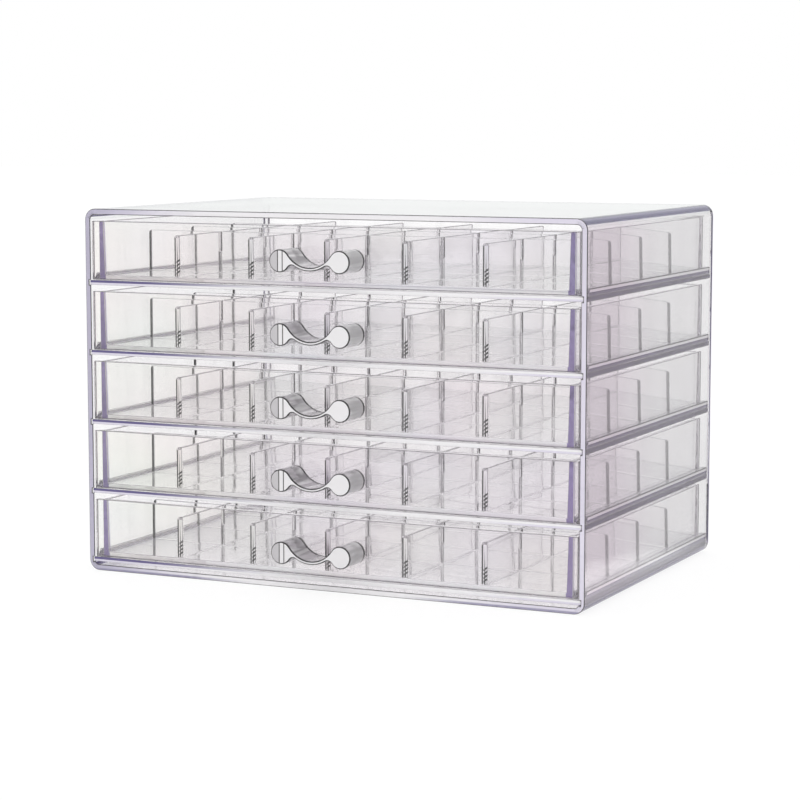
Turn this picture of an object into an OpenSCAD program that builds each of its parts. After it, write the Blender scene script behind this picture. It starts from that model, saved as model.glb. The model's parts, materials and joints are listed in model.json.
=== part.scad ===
// Clear jewellery organiser box: a one-piece case with a stack of shelves, and a drawer on each shelf
// that is split into small cells by crossed dividers.
// The origin is at the centre of the base. X runs along the width, Y from front to back, Z up.
// Drawers and shelves are numbered from the top.

/* [Case] */
// Outside width of the case
case_w = 220; // [180:1:300]
// Outside depth of the case
case_d = 150; // [120:1:220]
// Thickness of the case walls
case_wall = 2.4; // [2:0.1:4]
// Radius of the case's outer edges that run from front to back
case_outer_r = 4.5; // [2.5:0.1:6]
// Radius of the outer edges round the back of the case
case_back_r = 1.2; // [0.6:0.1:6]
// Radius of the rounded inner edges of the case
case_inner_r = 2; // [0.5:0.1:2.4]
// Free height between the lowest shelf and the case floor
base_gap = 1.2; // [0.6:0.1:4]

/* [Shelves and rails] */
// Thickness of a shelf
shelf_t = 1.9; // [1.5:0.1:3]
// Depth of the wall grooves that hold the shelves
groove_depth = 0.8; // [0.4:0.1:1.2]
// Free play of a shelf in its grooves
groove_gap = 0.1; // [0.05:0.05:0.3]
// Width of a guide rail
rail_w = 2.7; // [2:0.1:5]
// Height of a guide rail
rail_h = 3; // [2:0.1:8]
// Length of the slope at the front end of a guide rail
rail_lead = 2; // [0.5:0.1:8]
// Setback of the shelves and drawer fronts from the rim of the case
front_recess = 0.5; // [0.2:0.1:3]

/* [Drawers] */
// Number of drawers
drawer_count = 5; // [1:1:8]
// Height of a drawer
drawer_h = 24; // [18:0.5:40]
// Free height above a drawer
head_gap = 2.6; // [2.5:0.1:6]
// Running gap between a drawer and the shelf under it
slide_gap = 0.3; // [0.2:0.05:0.6]
// Running gap between a tray and a guide rail
side_gap = 0.3; // [0.2:0.05:0.8]
// Thickness of the drawer front
front_t = 2.5; // [1.8:0.1:4]
// Gap between the drawer front and each case wall
front_side_gap = 0.5; // [0.3:0.1:1.5]
// Gap between the back of the drawer front and the rails that stop it
stop_gap = 0.3; // [0.2:0.05:1]
// Thickness of the tray floor
tray_floor = 2; // [1.5:0.1:3]
// Thickness of the tray walls at the top
tray_wall = 2.2; // [1.5:0.1:3]
// How much thicker the tray walls are at the floor
tray_draft = 0.7; // [0.2:0.1:1.5]
// Gap between the tray and the back wall of the case
tray_back_gap = 1; // [0.5:0.1:4]

/* [Dividers] */
// Number of cells across a drawer
column_count = 6; // [2:1:10]
// Number of cells from front to back
row_count = 4; // [2:1:8]
// Thickness of a divider
divider_t = 1.6; // [1:0.1:2.5]
// How far the dividers stay below the drawer's top edge
divider_drop = 5.2; // [2:0.1:8]
// Radius of the dividers' upper corners
divider_corner_r = 1; // [0.5:0.1:4]
// Gap between a divider's end and the wall
divider_end_gap = 0.15; // [0.05:0.05:0.5]
// Gap around the half-lap slots where dividers cross
lap_gap = 0.1; // [0.05:0.05:0.3]

/* [Handle] */
// How far the handle stands out from the drawer front
handle_reach = 13.5; // [8:0.5:25]
// How far the handle sits below the middle of the drawer front
handle_drop = 1.2; // [0:0.1:3]
// Distance between the two lobes
handle_pitch = 26; // [20:0.5:40]
// Diameter of a lobe
handle_lobe_d = 9; // [6:0.1:11]
// Depth of the hollow between the lobes, below the lobes' centres
handle_sag = 2.4; // [1:0.1:3]
// Thickness of the ribbon that joins the lobes
handle_ribbon_t = 1.4; // [1:0.1:2]
// Radius of the fillets under the ribbon
handle_fillet_r = 2; // [1:0.1:3]

/* [Hidden] */
$fn = 48;
// Length by which a cutter runs past the face that it opens
cut = 1;

inner_w = case_w - 2 * case_wall;
level_pitch = shelf_t + slide_gap + drawer_h + head_gap;
case_h = 2 * case_wall + base_gap + drawer_count * level_pitch;
rim_y = -case_d / 2;
face_y = rim_y + front_recess;
case_back_y = case_d / 2 - case_wall;

tray_w = inner_w - 2 * (rail_w + side_gap);
tray_front_y = face_y + front_t;
tray_back_y = case_back_y - tray_back_gap;
tray_foot_wall = tray_wall + tray_draft;
rail_front_y = tray_front_y + stop_gap;

// The dividers stand in the room between the feet of the tray's walls
cells_w = tray_w - 2 * tray_foot_wall;
cells_d = tray_back_y - tray_foot_wall - tray_front_y;
cells_mid_y = tray_front_y + cells_d / 2;
column_pitch = cells_w / column_count;
row_pitch = cells_d / row_count;
divider_h = drawer_h - tray_floor - divider_drop;
lap_w = divider_t + 2 * lap_gap;
lap_h = divider_h / 2 + lap_gap;

// The ribbon lies between two arcs about one centre, and the upper arc meets both lobes.
// Curves that meet run into each other by the blend.
blend = 0.05;
lobe_r = handle_lobe_d / 2;
lobe_x = handle_pitch / 2;
meet_r = lobe_r - blend;
ribbon_r = (pow(lobe_x, 2) + pow(handle_sag, 2) - pow(meet_r, 2)) / (2 * (meet_r + handle_sag));
ribbon_low_r = ribbon_r + handle_ribbon_t;
ribbon_centre = [0, ribbon_r - handle_sag];
lobe_centre = [lobe_x, 0];
// A fillet circle meets the underside of the ribbon and the side of a lobe
lobe_dist = ribbon_r + meet_r;
fillet_dist = ribbon_low_r + handle_fillet_r - blend;
lobe_ray = (lobe_centre - ribbon_centre) / lobe_dist;
inward_ray = [lobe_ray.y, -lobe_ray.x];
fillet_along = (pow(fillet_dist, 2) + pow(lobe_dist, 2) - pow(meet_r + handle_fillet_r, 2)) / (2 * lobe_dist);
fillet_across = sqrt(pow(fillet_dist, 2) - pow(fillet_along, 2));
fillet_centre = ribbon_centre + fillet_along * lobe_ray + fillet_across * inward_ray;
fillet_root = ribbon_centre
    + (fillet_centre - ribbon_centre) * (ribbon_r + handle_ribbon_t / 2) / fillet_dist;

function numbered(stem, count) = [for (i = [1 : count]) str(stem, i)];
function each_drawer(ending) = [for (k = [1 : drawer_count]) str("drawer_", k, ending)];
function shelf_z(k) = case_wall + base_gap + (drawer_count - k) * level_pitch;
function drawer_z(k) = shelf_z(k) + shelf_t + slide_gap;
function row_y(j) = tray_front_y + j * row_pitch;
function column_x(i) = i * column_pitch - cells_w / 2;

// Centred rectangle with four rounded corners
module rounded_rect(w, h, r) {
    square([w - 2 * r, h], center = true);
    square([w, h - 2 * r], center = true);
    for (sx = [-1, 1], sy = [-1, 1])
        translate([sx * (w / 2 - r), sy * (h / 2 - r)])
            circle(r);
}

// Rectangle on the X axis, centred in X, whose two upper corners are rounded
module round_top_rect(w, h, r) {
    translate([-w / 2, 0])
        square([w, h - r]);
    translate([r - w / 2, 0])
        square([w - 2 * r, h]);
    for (side = [-1, 1])
        translate([side * (w / 2 - r), h - r])
            circle(r);
}

// Stands a profile drawn in X and Z upright, and makes it solid from y0 to y1
module across_depth(y0, y1) {
    translate([0, y1, 0])
        rotate([90, 0, 0])
            linear_extrude(y1 - y0)
                children();
}

// Stands a profile drawn in Y and Z upright, and makes it solid from x0 to x1
module across_width(x0, x1) {
    translate([x0, 0, 0])
        rotate([90, 0, 90])
            linear_extrude(x1 - x0)
                children();
}

// The full outside of the case: rounded edges along the depth and all round the back
module case_blank() {
    intersection() {
        translate([0, 0, case_h / 2])
            across_depth(rim_y, -rim_y)
                rounded_rect(case_w, case_h, case_outer_r);
        translate([0, rim_y, 0])
            linear_extrude(case_h)
                round_top_rect(case_w, case_d, case_back_r);
        across_width(-case_w / 2, case_w / 2)
            translate([rim_y, case_h / 2])
                rotate(-90)
                    round_top_rect(case_h, case_d, case_back_r);
    }
}

module outer_case() {
    color("lavender", 0.4)
        difference() {
            case_blank();
            translate([0, 0, case_h / 2])
                across_depth(rim_y - cut, case_back_y)
                    rounded_rect(inner_w, case_h - 2 * case_wall, case_inner_r);
            for (k = [1 : drawer_count])
                translate([-inner_w / 2 - groove_depth, rim_y - cut, shelf_z(k)])
                    cube([inner_w + 2 * groove_depth, case_back_y - rim_y + cut, shelf_t + groove_gap]);
        }
}

module shelf(k) {
    shelf_w = inner_w + 2 * (groove_depth - groove_gap);
    color("thistle", 0.4)
        translate([-shelf_w / 2, face_y, shelf_z(k)])
            cube([shelf_w, case_back_y - face_y, shelf_t]);
}

// Guide rail on a shelf, against the left (-1) or right (1) case wall, with a slope at its front end
module rail(k, side) {
    wall_x = side * inner_w / 2;
    guide_x = wall_x - side * rail_w;
    color("white", 0.5)
        translate([0, 0, shelf_z(k) + shelf_t])
            across_width(min(wall_x, guide_x), max(wall_x, guide_x))
                polygon([
                    [rail_front_y, 0],
                    [case_back_y, 0],
                    [case_back_y, rail_h],
                    [rail_front_y + rail_lead, rail_h]
                ]);
}

// Tray without a front wall; the insides of its other walls lean outwards
module tray(k) {
    color("ghostwhite", 0.4)
        translate([0, 0, drawer_z(k)])
            difference() {
                translate([-tray_w / 2, tray_front_y, 0])
                    cube([tray_w, tray_back_y - tray_front_y, drawer_h]);
                intersection() {
                    across_depth(tray_front_y - cut, tray_back_y)
                        polygon([
                            [-cells_w / 2, tray_floor],
                            [cells_w / 2, tray_floor],
                            [tray_w / 2 - tray_wall, drawer_h],
                            [tray_w / 2 - tray_wall, drawer_h + cut],
                            [tray_wall - tray_w / 2, drawer_h + cut],
                            [tray_wall - tray_w / 2, drawer_h]
                        ]);
                    across_width(-tray_w / 2, tray_w / 2)
                        polygon([
                            [tray_front_y - cut, tray_floor],
                            [tray_back_y - tray_foot_wall, tray_floor],
                            [tray_back_y - tray_wall, drawer_h],
                            [tray_back_y - tray_wall, drawer_h + cut],
                            [tray_front_y - cut, drawer_h + cut]
                        ]);
                }
            }
}

// Flat front panel, wider than the tray, which closes the tray and stops on the rails
module drawer_front(k) {
    front_w = inner_w - 2 * front_side_gap;
    color("ghostwhite", 0.5)
        translate([-front_w / 2, face_y, drawer_z(k)])
            cube([front_w, front_t, drawer_h]);
}

// Fillet between the underside of the ribbon and the right lobe, in outline
module handle_fillet() {
    difference() {
        polygon([lobe_centre, fillet_centre, fillet_root]);
        translate(fillet_centre)
            circle(handle_fillet_r);
    }
}

// Ribbon between the lobes' centres, in outline
module handle_ribbon() {
    intersection() {
        translate(ribbon_centre)
            difference() {
                circle(ribbon_low_r);
                circle(ribbon_r);
            }
        polygon([
            ribbon_centre,
            lobe_centre,
            [lobe_x, -handle_pitch],
            [-lobe_x, -handle_pitch],
            [-lobe_x, 0]
        ]);
    }
}

// Bow-shaped pull: two round lobes joined by a hollow ribbon, with one outline along its whole reach
module handle(k) {
    color("white", 0.6)
        translate([0, 0, drawer_z(k) + drawer_h / 2 - handle_drop]) {
            across_depth(face_y - handle_reach, face_y)
                handle_ribbon();
            for (side = [0, 1])
                mirror([side, 0, 0]) {
                    across_depth(face_y - handle_reach, face_y)
                        handle_fillet();
                    across_depth(face_y - handle_reach, face_y)
                        translate(lobe_centre)
                            circle(lobe_r);
                }
        }
}

// Dividers from front to back, slotted from above where the cross dividers pass
module long_dividers(k) {
    color("lavender", 0.5)
        translate([0, 0, drawer_z(k) + tray_floor])
            for (i = [1 : column_count - 1])
                across_width(column_x(i) - divider_t / 2, column_x(i) + divider_t / 2)
                    difference() {
                        translate([cells_mid_y, 0])
                            round_top_rect(cells_d - 2 * divider_end_gap, divider_h, divider_corner_r);
                        for (j = [1 : row_count - 1])
                            translate([row_y(j) - lap_w / 2, divider_h - lap_h])
                                square([lap_w, lap_h + cut]);
                    }
}

// Divider from side to side, slotted from below where the long dividers pass
module cross_divider(k, j) {
    color("lavender", 0.5)
        translate([0, 0, drawer_z(k) + tray_floor])
            across_depth(row_y(j) - divider_t / 2, row_y(j) + divider_t / 2)
                difference() {
                    round_top_rect(cells_w - 2 * divider_end_gap, divider_h, divider_corner_r);
                    for (i = [1 : column_count - 1])
                        translate([column_x(i) - lap_w / 2, -cut])
                            square([lap_w, lap_h + cut]);
                }
}

outer_case();
for (k = [1 : drawer_count]) {
    shelf(k);
    rail(k, -1);
    rail(k, 1);
    tray(k);
    drawer_front(k);
    handle(k);
    long_dividers(k);
    for (j = [1 : row_count - 1])
        cross_divider(k, j);
}
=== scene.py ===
"""Looks of a clear jewellery box: a moulded case, shelves, rails and drawers full of small cells."""

import json
import math

import bpy
from bpy.props import FloatProperty, FloatVectorProperty, IntProperty, PointerProperty
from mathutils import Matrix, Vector


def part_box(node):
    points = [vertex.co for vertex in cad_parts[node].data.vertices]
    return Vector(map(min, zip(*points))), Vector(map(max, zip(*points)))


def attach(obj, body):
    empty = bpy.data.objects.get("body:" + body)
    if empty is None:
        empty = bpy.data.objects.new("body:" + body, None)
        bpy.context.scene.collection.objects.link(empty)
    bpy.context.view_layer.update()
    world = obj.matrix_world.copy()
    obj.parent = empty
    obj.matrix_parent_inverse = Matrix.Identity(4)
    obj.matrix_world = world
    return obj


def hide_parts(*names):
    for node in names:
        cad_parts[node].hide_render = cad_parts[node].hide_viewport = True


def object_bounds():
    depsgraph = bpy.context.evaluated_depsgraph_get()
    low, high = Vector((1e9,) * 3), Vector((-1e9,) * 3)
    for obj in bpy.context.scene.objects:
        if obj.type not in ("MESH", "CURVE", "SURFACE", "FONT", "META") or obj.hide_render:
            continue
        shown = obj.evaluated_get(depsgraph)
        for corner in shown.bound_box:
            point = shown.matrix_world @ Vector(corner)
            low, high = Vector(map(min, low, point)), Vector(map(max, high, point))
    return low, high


bl_info = {
    "name": "Clear Jewellery Box",
    "version": (1, 0, 0),
    "blender": (4, 5, 0),
    "location": "View3D > Sidebar > Jewellery Box",
    "description": "Models the clear case, shelves, rails and drawers around the packed frame",
    "category": "Object",
}

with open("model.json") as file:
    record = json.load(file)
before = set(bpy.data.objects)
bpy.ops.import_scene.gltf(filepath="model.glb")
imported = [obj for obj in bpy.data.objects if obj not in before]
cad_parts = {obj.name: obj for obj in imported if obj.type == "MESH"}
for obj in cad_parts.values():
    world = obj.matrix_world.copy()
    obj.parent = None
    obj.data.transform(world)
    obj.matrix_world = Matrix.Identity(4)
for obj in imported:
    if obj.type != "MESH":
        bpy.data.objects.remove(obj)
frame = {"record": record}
cad_low, cad_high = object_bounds()
BODIES = frame["record"]["behaviour"]["bodies"]
DRAWERS = sorted(name for name in BODIES if name.startswith("drawer_"))
FIRST = DRAWERS[0]
LEVELS = range(1, len(DRAWERS) + 1)
MM = 0.001
TOUCH = 0.01 * MM
# Finishes of a piece, in the order in which it is dressed
BODY_SLOT, EDGE_SLOT, LINE_SLOT, PALE_SLOT, DEEP_SLOT = range(5)
# Other finishes that stand in the same slots of some pieces
CORNER_SLOT, SHELF_FRONT_SLOT, SHELF_LIP_SLOT, DISC_SLOT = LINE_SLOT, LINE_SLOT, PALE_SLOT, LINE_SLOT
# Limits for a part of a face's normal, from hardly towards an axis to straight along it
HARDLY, SLANTED, SLOPED, STEEP, FACING, EDGE_ON = 0.1, 0.2, 0.3, 0.5, 0.9, 0.98
CORNER_STRIP = (0.6, 0.97)
INNER_SHARE = 0.9
TICK_ZONE = 10 * MM
SPARE_WALLS, SLOT_STRIPS = 4, 4
ACROSS_RUN, DEPTH_RUN = 0, 1
SHARP_ANGLE, SMOOTH_ANGLE = math.radians(30), math.radians(50)
LOBE_STEPS, FILLET_STEPS, RIBBON_STEPS, HOLLOW_STEPS = 40, 6, 12, 24
WHITE = (1.0, 1.0, 1.0)
ALONG_Y, ALONG_Z = (0.0, 1.0, 0.0), (0.0, 0.0, 1.0)


# Sizes and colours that a user would change


def length_property(name, text, millimetres):
    """A property that holds a length."""
    return FloatProperty(name=name, description=text, default=millimetres * MM, unit="LENGTH")


def colour_property(name, text, value):
    """A property that holds a colour."""
    return FloatVectorProperty(name=name, description=text, default=value, size=3, subtype="COLOR",
                               min=0.0, max=1.0)


def share_property(name, text, value):
    """A property that holds a share from 0 to 1."""
    return FloatProperty(name=name, description=text, default=value, min=0.0, max=1.0, subtype="FACTOR")


class BoxSizes(bpy.types.PropertyGroup):
    """Sizes that the frame's boxes don't give"""

    case_outer_r: length_property(
        "Case outer radius", "Radius of the case's outer edges that run from front to back", 4.5)
    case_back_r: length_property(
        "Case back radius", "Radius of the outer edges round the back of the case", 1.2)
    case_soft: length_property(
        "Case rim softness", "Radius of the edges round the open front of the case", 0.3)
    plate_soft: length_property("Plate softness", "Radius of the edges of shelves, fronts and trays", 0.3)
    divider_soft: length_property("Divider softness", "Radius of the edges of the dividers", 0.3)
    seam: length_property("Seam", "Hairline of air left between clear pieces that touch", 0.05)
    # The violet of the lip is painted shade
    shelf_lip: length_property("Shelf lip", "Height of the violet upper part of a shelf's front", 0.95)
    rail_lead: length_property("Rail lead-in", "Length of the slope at the front end of a rail", 2.0)
    # The rail's violet foot and dark line are painted shade
    rail_foot: length_property("Rail foot", "Height of the violet lower part of a rail's sides", 1.5)
    rail_line: length_property("Rail line", "Height of the dark line along the top of a rail's sides", 0.5)
    tray_wall: length_property("Tray wall", "Thickness of the tray walls at the top", 2.2)
    tray_draft: length_property("Tray draft", "How much thicker the tray walls are at the floor", 0.7)
    # The tray's dark back line is painted shade
    tray_back_line: length_property(
        "Tray back line", "Width of the dark line up the back end of a tray's sides", 1.3)
    divider_corner_r: length_property("Divider corner radius", "Radius of the dividers' upper corners", 1.0)
    lap_gap: length_property("Lap gap", "Gap round the half-lap slots where dividers cross", 0.1)
    flare_length: length_property(
        "Flare length", "Length over which a long divider widens towards its front end", 1.4)
    flare_widening: length_property(
        "Flare widening", "How much a long divider widens to each side at its front end", 0.5)
    # The dark strips, core and lap lines of the dividers are painted shade
    strip_outer: length_property(
        "Outer strip", "Distance of the dark outer strips from the middle of a long divider's end", 0.52)
    core_half: length_property(
        "Core half width", "Half the width of the dark core at the foot of a long divider's end", 0.30)
    core_lean: FloatProperty(
        name="Core lean", description="How fast the dark core narrows on its way up", default=0.016, min=0.0)
    core_shift: length_property("Core shift", "How far the dark core lies to the right of the middle", 0.2)
    lap_line: length_property("Lap line", "Width of the dark line behind each lap slot, at the foot", 0.7)
    lap_lean: FloatProperty(
        name="Lap line lean", description="How fast that line narrows on its way up", default=0.02, min=0.0)
    tick_count: IntProperty(
        name="Ticks", description="Number of slanted ticks in the front edge of a long divider",
        default=4, min=1)
    tick_pitch: length_property("Tick pitch", "Height from one tick to the next", 1.5)
    tick_height: length_property("Tick height", "Height of one tick", 0.85)
    tick_depth: length_property("Tick depth", "How far a tick goes into the divider", 0.6)
    tick_rise: length_property("Tick rise", "How much a tick climbs across the divider", 0.8)
    handle_sag: length_property(
        "Handle hollow", "Depth of the hollow between the lobes, below their centres", 2.4)
    handle_ribbon: length_property("Handle ribbon", "Thickness of the ribbon between the lobes", 1.4)
    handle_fillet: length_property("Handle fillet", "Radius of the fillets under the ribbon", 2.0)
    handle_soft: length_property("Handle softness", "Radius of the edges at the handle's free end", 0.45)
    handle_root: length_property(
        "Handle root", "Radius of the edge where the handle meets the drawer front", 0.3)
    round_steps: IntProperty(
        name="Round steps", description="Number of steps in a rounded edge of the case", default=8, min=2)


class BoxFinish(bpy.types.PropertyGroup):
    """Colours of the clear plastic and of the shade painted into it, and strengths of its surface detail"""

    absorb_colour: colour_property(
        "Body tint", "Colour that a long way through the plastic leaves in the light", (0.36, 0.28, 0.42))
    absorb_density: FloatProperty(
        name="Body tint density", description="How fast the plastic takes up light, per metre",
        default=1.2, min=0.0)
    # Painted shade: violet that stands in for light running a long way through the plastic at its rounded
    # edges
    violet_edge_shade: colour_property(
        "Edge violet", "Colour that gathers in the outer edges of the plastic", (0.37, 0.35, 0.49))
    deep_edge_shade: colour_property(
        "Edge deep violet", "Colour of the outermost part of the rounded edges", (0.13, 0.108, 0.27))
    # Painted violet shade at both ends of the rims
    rim_end_shade: colour_property("Rim violet", "Colour at both ends of the rims", (0.82, 0.78, 0.90))
    # Painted shade: the fine lines along the edges and the crisp dark lines
    edge_line_shade: colour_property("Edge line", "Colour of the fine lines along the edges", (1.0, 0.96, 1.0))
    dark_line_shade: colour_property(
        "Dark line", "Colour of the crisp lines at the dividers' ends and slots", (0.020, 0.018, 0.021))
    line_clearness: share_property(
        "Line clearness", "Share of the light that goes on through a dark line", 0.15)
    pale_clearness: share_property(
        "Pale end clearness", "Share of the light that goes on through a frosted end", 0.12)
    edge_clearness: share_property(
        "Edge clearness", "Share of the light that goes on through a rounded edge", 0.6)
    # Painted violet shade on the trays' front ends
    bar_shade: colour_property(
        "Bar violet", "Colour of the front ends of the tray walls", (0.17, 0.115, 0.34))
    bar_clearness: share_property(
        "Bar clearness", "Share of the light that goes on through the trays' front ends", 0.4)
    # Painted shade on the front part of the case's right wall
    wall_front_shade: colour_property("Blush", "Tint of the front part of the case's right wall", (0.93, 0.87, 0.915))
    # Painted violet shade on the shelves' sides and the rails' feet
    violet_side_shade: colour_property(
        "Shelf violet", "Colour of the shelves' sides in the case's grooves", (0.17, 0.145, 0.28))
    # Painted grey shade on the long dividers' front ends
    long_end_shade: colour_property(
        "End grey", "Shade of the front ends of the long dividers", (0.86, 0.84, 0.86))
    handle_clearness: share_property(
        "Handle clearness", "Share of the light that goes on through the handle's sides", 0.55)
    # Painted grey shade on the handle's sides
    handle_side_shade: colour_property("Handle grey", "Shade of the handle's sides", (0.57, 0.55, 0.57))
    # Painted grey shade beside the bar on the left lobe's end
    disc_side_shade: colour_property(
        "Disc grey", "Shade beside the pale bar on the end of the left lobe", (0.66, 0.64, 0.66))
    pastel: share_property(
        "Pastel patches", "Strength of the pale patches of colour in the drawer fronts", 0.06)
    ior: FloatProperty(
        name="Index of refraction", description="Refraction of clear polystyrene", default=1.55, min=1.0)
    wave_depth: length_property("Moulding waves", "Height of the slow waves in the moulded faces", 0.004)


class StageLook(bpy.types.PropertyGroup):
    """Camera, floor and studio light"""

    camera_azimuth: FloatProperty(
        name="Camera azimuth", description="Turn of the camera to the right of the front",
        default=math.radians(25.315), subtype="ANGLE")
    camera_pitch: FloatProperty(
        name="Camera pitch", description="How far the camera looks down",
        default=math.radians(6.78), subtype="ANGLE")
    camera_distance: length_property(
        "Camera distance", "Distance from the camera to the point that it looks at", 1026.6)
    camera_aside: length_property(
        "Aim sideways", "How far to the right of the case's middle the camera looks", -2.4)
    camera_above: length_property("Aim upwards", "How far above the case's middle the camera looks", -6.4)
    camera_lens: FloatProperty(
        name="Focal length", description="Focal length on a 36 mm sensor, in millimetres", default=109.57)
    floor_size: FloatProperty(
        name="Floor size", description="Width of the floor", default=12.0, unit="LENGTH")
    ring_colour: colour_property("Studio walls", "Colour of the studio's dim walls", (0.65, 0.64, 0.67))
    low_sky: colour_property(
        "Low sky", "Colour of the pale backdrop just above the floor", (0.90, 0.915, 0.91))
    sweep: colour_property(
        "Sweep", "Colour of the pale sheet that rises behind the box", (0.92, 0.93, 0.925))
    ceiling: colour_property("Ceiling", "Colour of the white ceiling", (0.97, 0.985, 0.975))
    dim_colour: colour_property(
        "Dim side", "Colour of the dimmer part of the studio, at the right of the back", (0.40, 0.385, 0.40))
    # Painted shadow on the floor under the box, which the camera doesn't see straight
    under_box_shadow: colour_property(
        "Under the box", "Colour of the floor under the box, as seen through the plastic", (0.82, 0.80, 0.82))
    light_level: FloatProperty(
        name="Light level", description="Strength of the soft light from all round", default=1.0, min=0.0)


def sizes():
    return bpy.context.scene.jewel_sizes


def finish():
    return bpy.context.scene.jewel_finish


def stage_look():
    return bpy.context.scene.jewel_stage


# Modelling helpers


def deselect_all():
    """Leaves object mode with nothing selected."""
    if bpy.context.mode != "OBJECT":
        bpy.ops.object.mode_set(mode="OBJECT")
    bpy.ops.object.select_all(action="DESELECT")


def make_active(piece):
    deselect_all()
    piece.select_set(True)
    bpy.context.view_layer.objects.active = piece


def bake_place(piece):
    """Puts the piece's place, turn and size into its mesh."""
    make_active(piece)
    bpy.ops.object.transform_apply(location=True, rotation=True, scale=True)


def add_block(name, low, high):
    """A cube primitive that fills the box from low to high."""
    deselect_all()
    low, high = Vector(low), Vector(high)
    bpy.ops.mesh.primitive_cube_add(size=1.0, location=(low + high) / 2, scale=high - low)
    piece = bpy.context.active_object
    piece.name = name
    piece.data.name = name
    bake_place(piece)
    return piece


def clear_selection(mesh):
    for part in (mesh.vertices, mesh.edges, mesh.polygons):
        part.foreach_set("select", [False] * len(part))


def pick_faces(piece, wanted):
    """Enters edit mode with the faces selected for which wanted(centre, normal) holds."""
    make_active(piece)
    clear_selection(piece.data)
    for face in piece.data.polygons:
        face.select = wanted(face.center, face.normal)
    bpy.context.tool_settings.mesh_select_mode = (False, False, True)
    bpy.ops.object.mode_set(mode="EDIT")


def pick_all(piece):
    """Enters edit mode with every face selected."""
    pick_faces(piece, lambda centre, normal: True)


def pick_edges(piece, wanted):
    """Enters edit mode with the edges selected for which wanted(end_a, end_b) holds."""
    make_active(piece)
    mesh = piece.data
    clear_selection(mesh)
    for edge in mesh.edges:
        a, b = (mesh.vertices[i].co for i in edge.vertices)
        edge.select = wanted(a, b)
    bpy.context.tool_settings.mesh_select_mode = (False, True, False)
    bpy.ops.object.mode_set(mode="EDIT")


def leave_edit():
    bpy.ops.object.mode_set(mode="OBJECT")


def extrude_picked(move):
    bpy.ops.mesh.extrude_region_move(TRANSFORM_OT_translate={"value": move})


def split(piece, place, direction, wanted=lambda centre, normal: True):
    """Splits the faces for which wanted(centre, normal) holds along a plane."""
    pick_faces(piece, wanted)
    bpy.ops.mesh.bisect(plane_co=place, plane_no=direction)
    leave_edit()


def near(a, b):
    return abs(a - b) < TOUCH


def front_faces(y):
    """Returns a test for the faces at the depth y that look to the front."""
    return lambda centre, normal: near(centre.y, y) and normal.y < -FACING


def edges_at(y):
    """Returns a test for the edges that lie at the depth y."""
    return lambda a, b: near(a.y, y) and near(b.y, y)


def bevel_picked(radius, steps, finish_slot=-1):
    """Rounds the picked edges; the new faces take the finish of the given slot."""
    bpy.ops.mesh.bevel(offset=radius, offset_type="OFFSET", segments=steps, profile=0.5, affect="EDGES",
                       material=finish_slot)
    leave_edit()


def apply_modifier(piece, modifier):
    make_active(piece)
    bpy.ops.object.modifier_apply(modifier=modifier.name)


def soften(piece, radius, steps=2):
    """Rounds every sharp edge of a piece a little, in the edge finish."""
    modifier = piece.modifiers.new("soft edges", "BEVEL")
    modifier.material = EDGE_SLOT
    modifier.width = radius
    modifier.segments = steps
    modifier.limit_method = "ANGLE"
    modifier.angle_limit = SHARP_ANGLE
    apply_modifier(piece, modifier)


def smooth(piece):
    """Smooth shading that leaves the wide faces flat and bends the light only in the narrow ones."""
    make_active(piece)
    bpy.ops.object.shade_smooth_by_angle(angle=SMOOTH_ANGLE)
    modifier = piece.modifiers.new("flat faces", "WEIGHTED_NORMAL")
    modifier.mode = "FACE_AREA"
    modifier.weight = 100
    modifier.keep_sharp = True
    apply_modifier(piece, modifier)


def cut_away(piece, cutters):
    """Cuts the joined cutters out of a piece and deletes them."""
    deselect_all()
    for cutter in cutters:
        cutter.select_set(True)
    bpy.context.view_layer.objects.active = cutters[0]
    if len(cutters) > 1:
        bpy.ops.object.join()
    tool = bpy.context.active_object
    modifier = piece.modifiers.new("cut", "BOOLEAN")
    modifier.operation = "DIFFERENCE"
    modifier.solver = "EXACT"
    modifier.object = tool
    apply_modifier(piece, modifier)
    bpy.data.objects.remove(tool)


def copy_to(piece, name, move):
    """A copy of a finished piece with its own mesh, moved inside that mesh."""
    twin = piece.copy()
    twin.data = piece.data.copy()
    twin.name = name
    twin.data.name = name
    bpy.context.scene.collection.objects.link(twin)
    pick_all(twin)
    bpy.ops.transform.translate(value=move)
    leave_edit()
    return twin


def dress(piece, *materials):
    """Gives a piece its finishes, in the order of the slots."""
    piece.data.materials.clear()
    for material in materials:
        piece.data.materials.append(material)


def refinish(piece, slot, wanted):
    """Puts the faces for which wanted(centre, normal) holds into the finish of the given slot."""
    pick_faces(piece, wanted)
    piece.active_material_index = slot
    bpy.ops.object.material_slot_assign()
    leave_edit()


def install(piece, node, body):
    """Lets a piece stand for its node."""
    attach(piece, body)
    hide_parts(node)


def install_levels(first_piece, node_start, piece_start):
    """Copies the first level's piece to the other levels and lets them stand for their nodes."""
    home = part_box(f"{node_start}_1")[0]
    for k in LEVELS:
        node = f"{node_start}_{k}"
        piece = first_piece
        if k > 1:
            piece = copy_to(first_piece, f"{piece_start}_{k}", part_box(node)[0] - home)
        install(piece, node, "case")


def install_in_drawers(first_piece, ending, piece_ending):
    """Copies the first drawer's piece into the other drawers and lets them stand for their nodes."""
    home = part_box(f"{FIRST}_{ending}")[0]
    for drawer in DRAWERS:
        node = f"{drawer}_{ending}"
        piece = first_piece
        if drawer != FIRST:
            piece = copy_to(first_piece, f"{drawer}_{piece_ending}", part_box(node)[0] - home)
        install(piece, node, drawer)


# Materials

FROSTED = ((1.0, 0.985, 1.0), (0.96, 0.945, 0.96))
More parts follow.
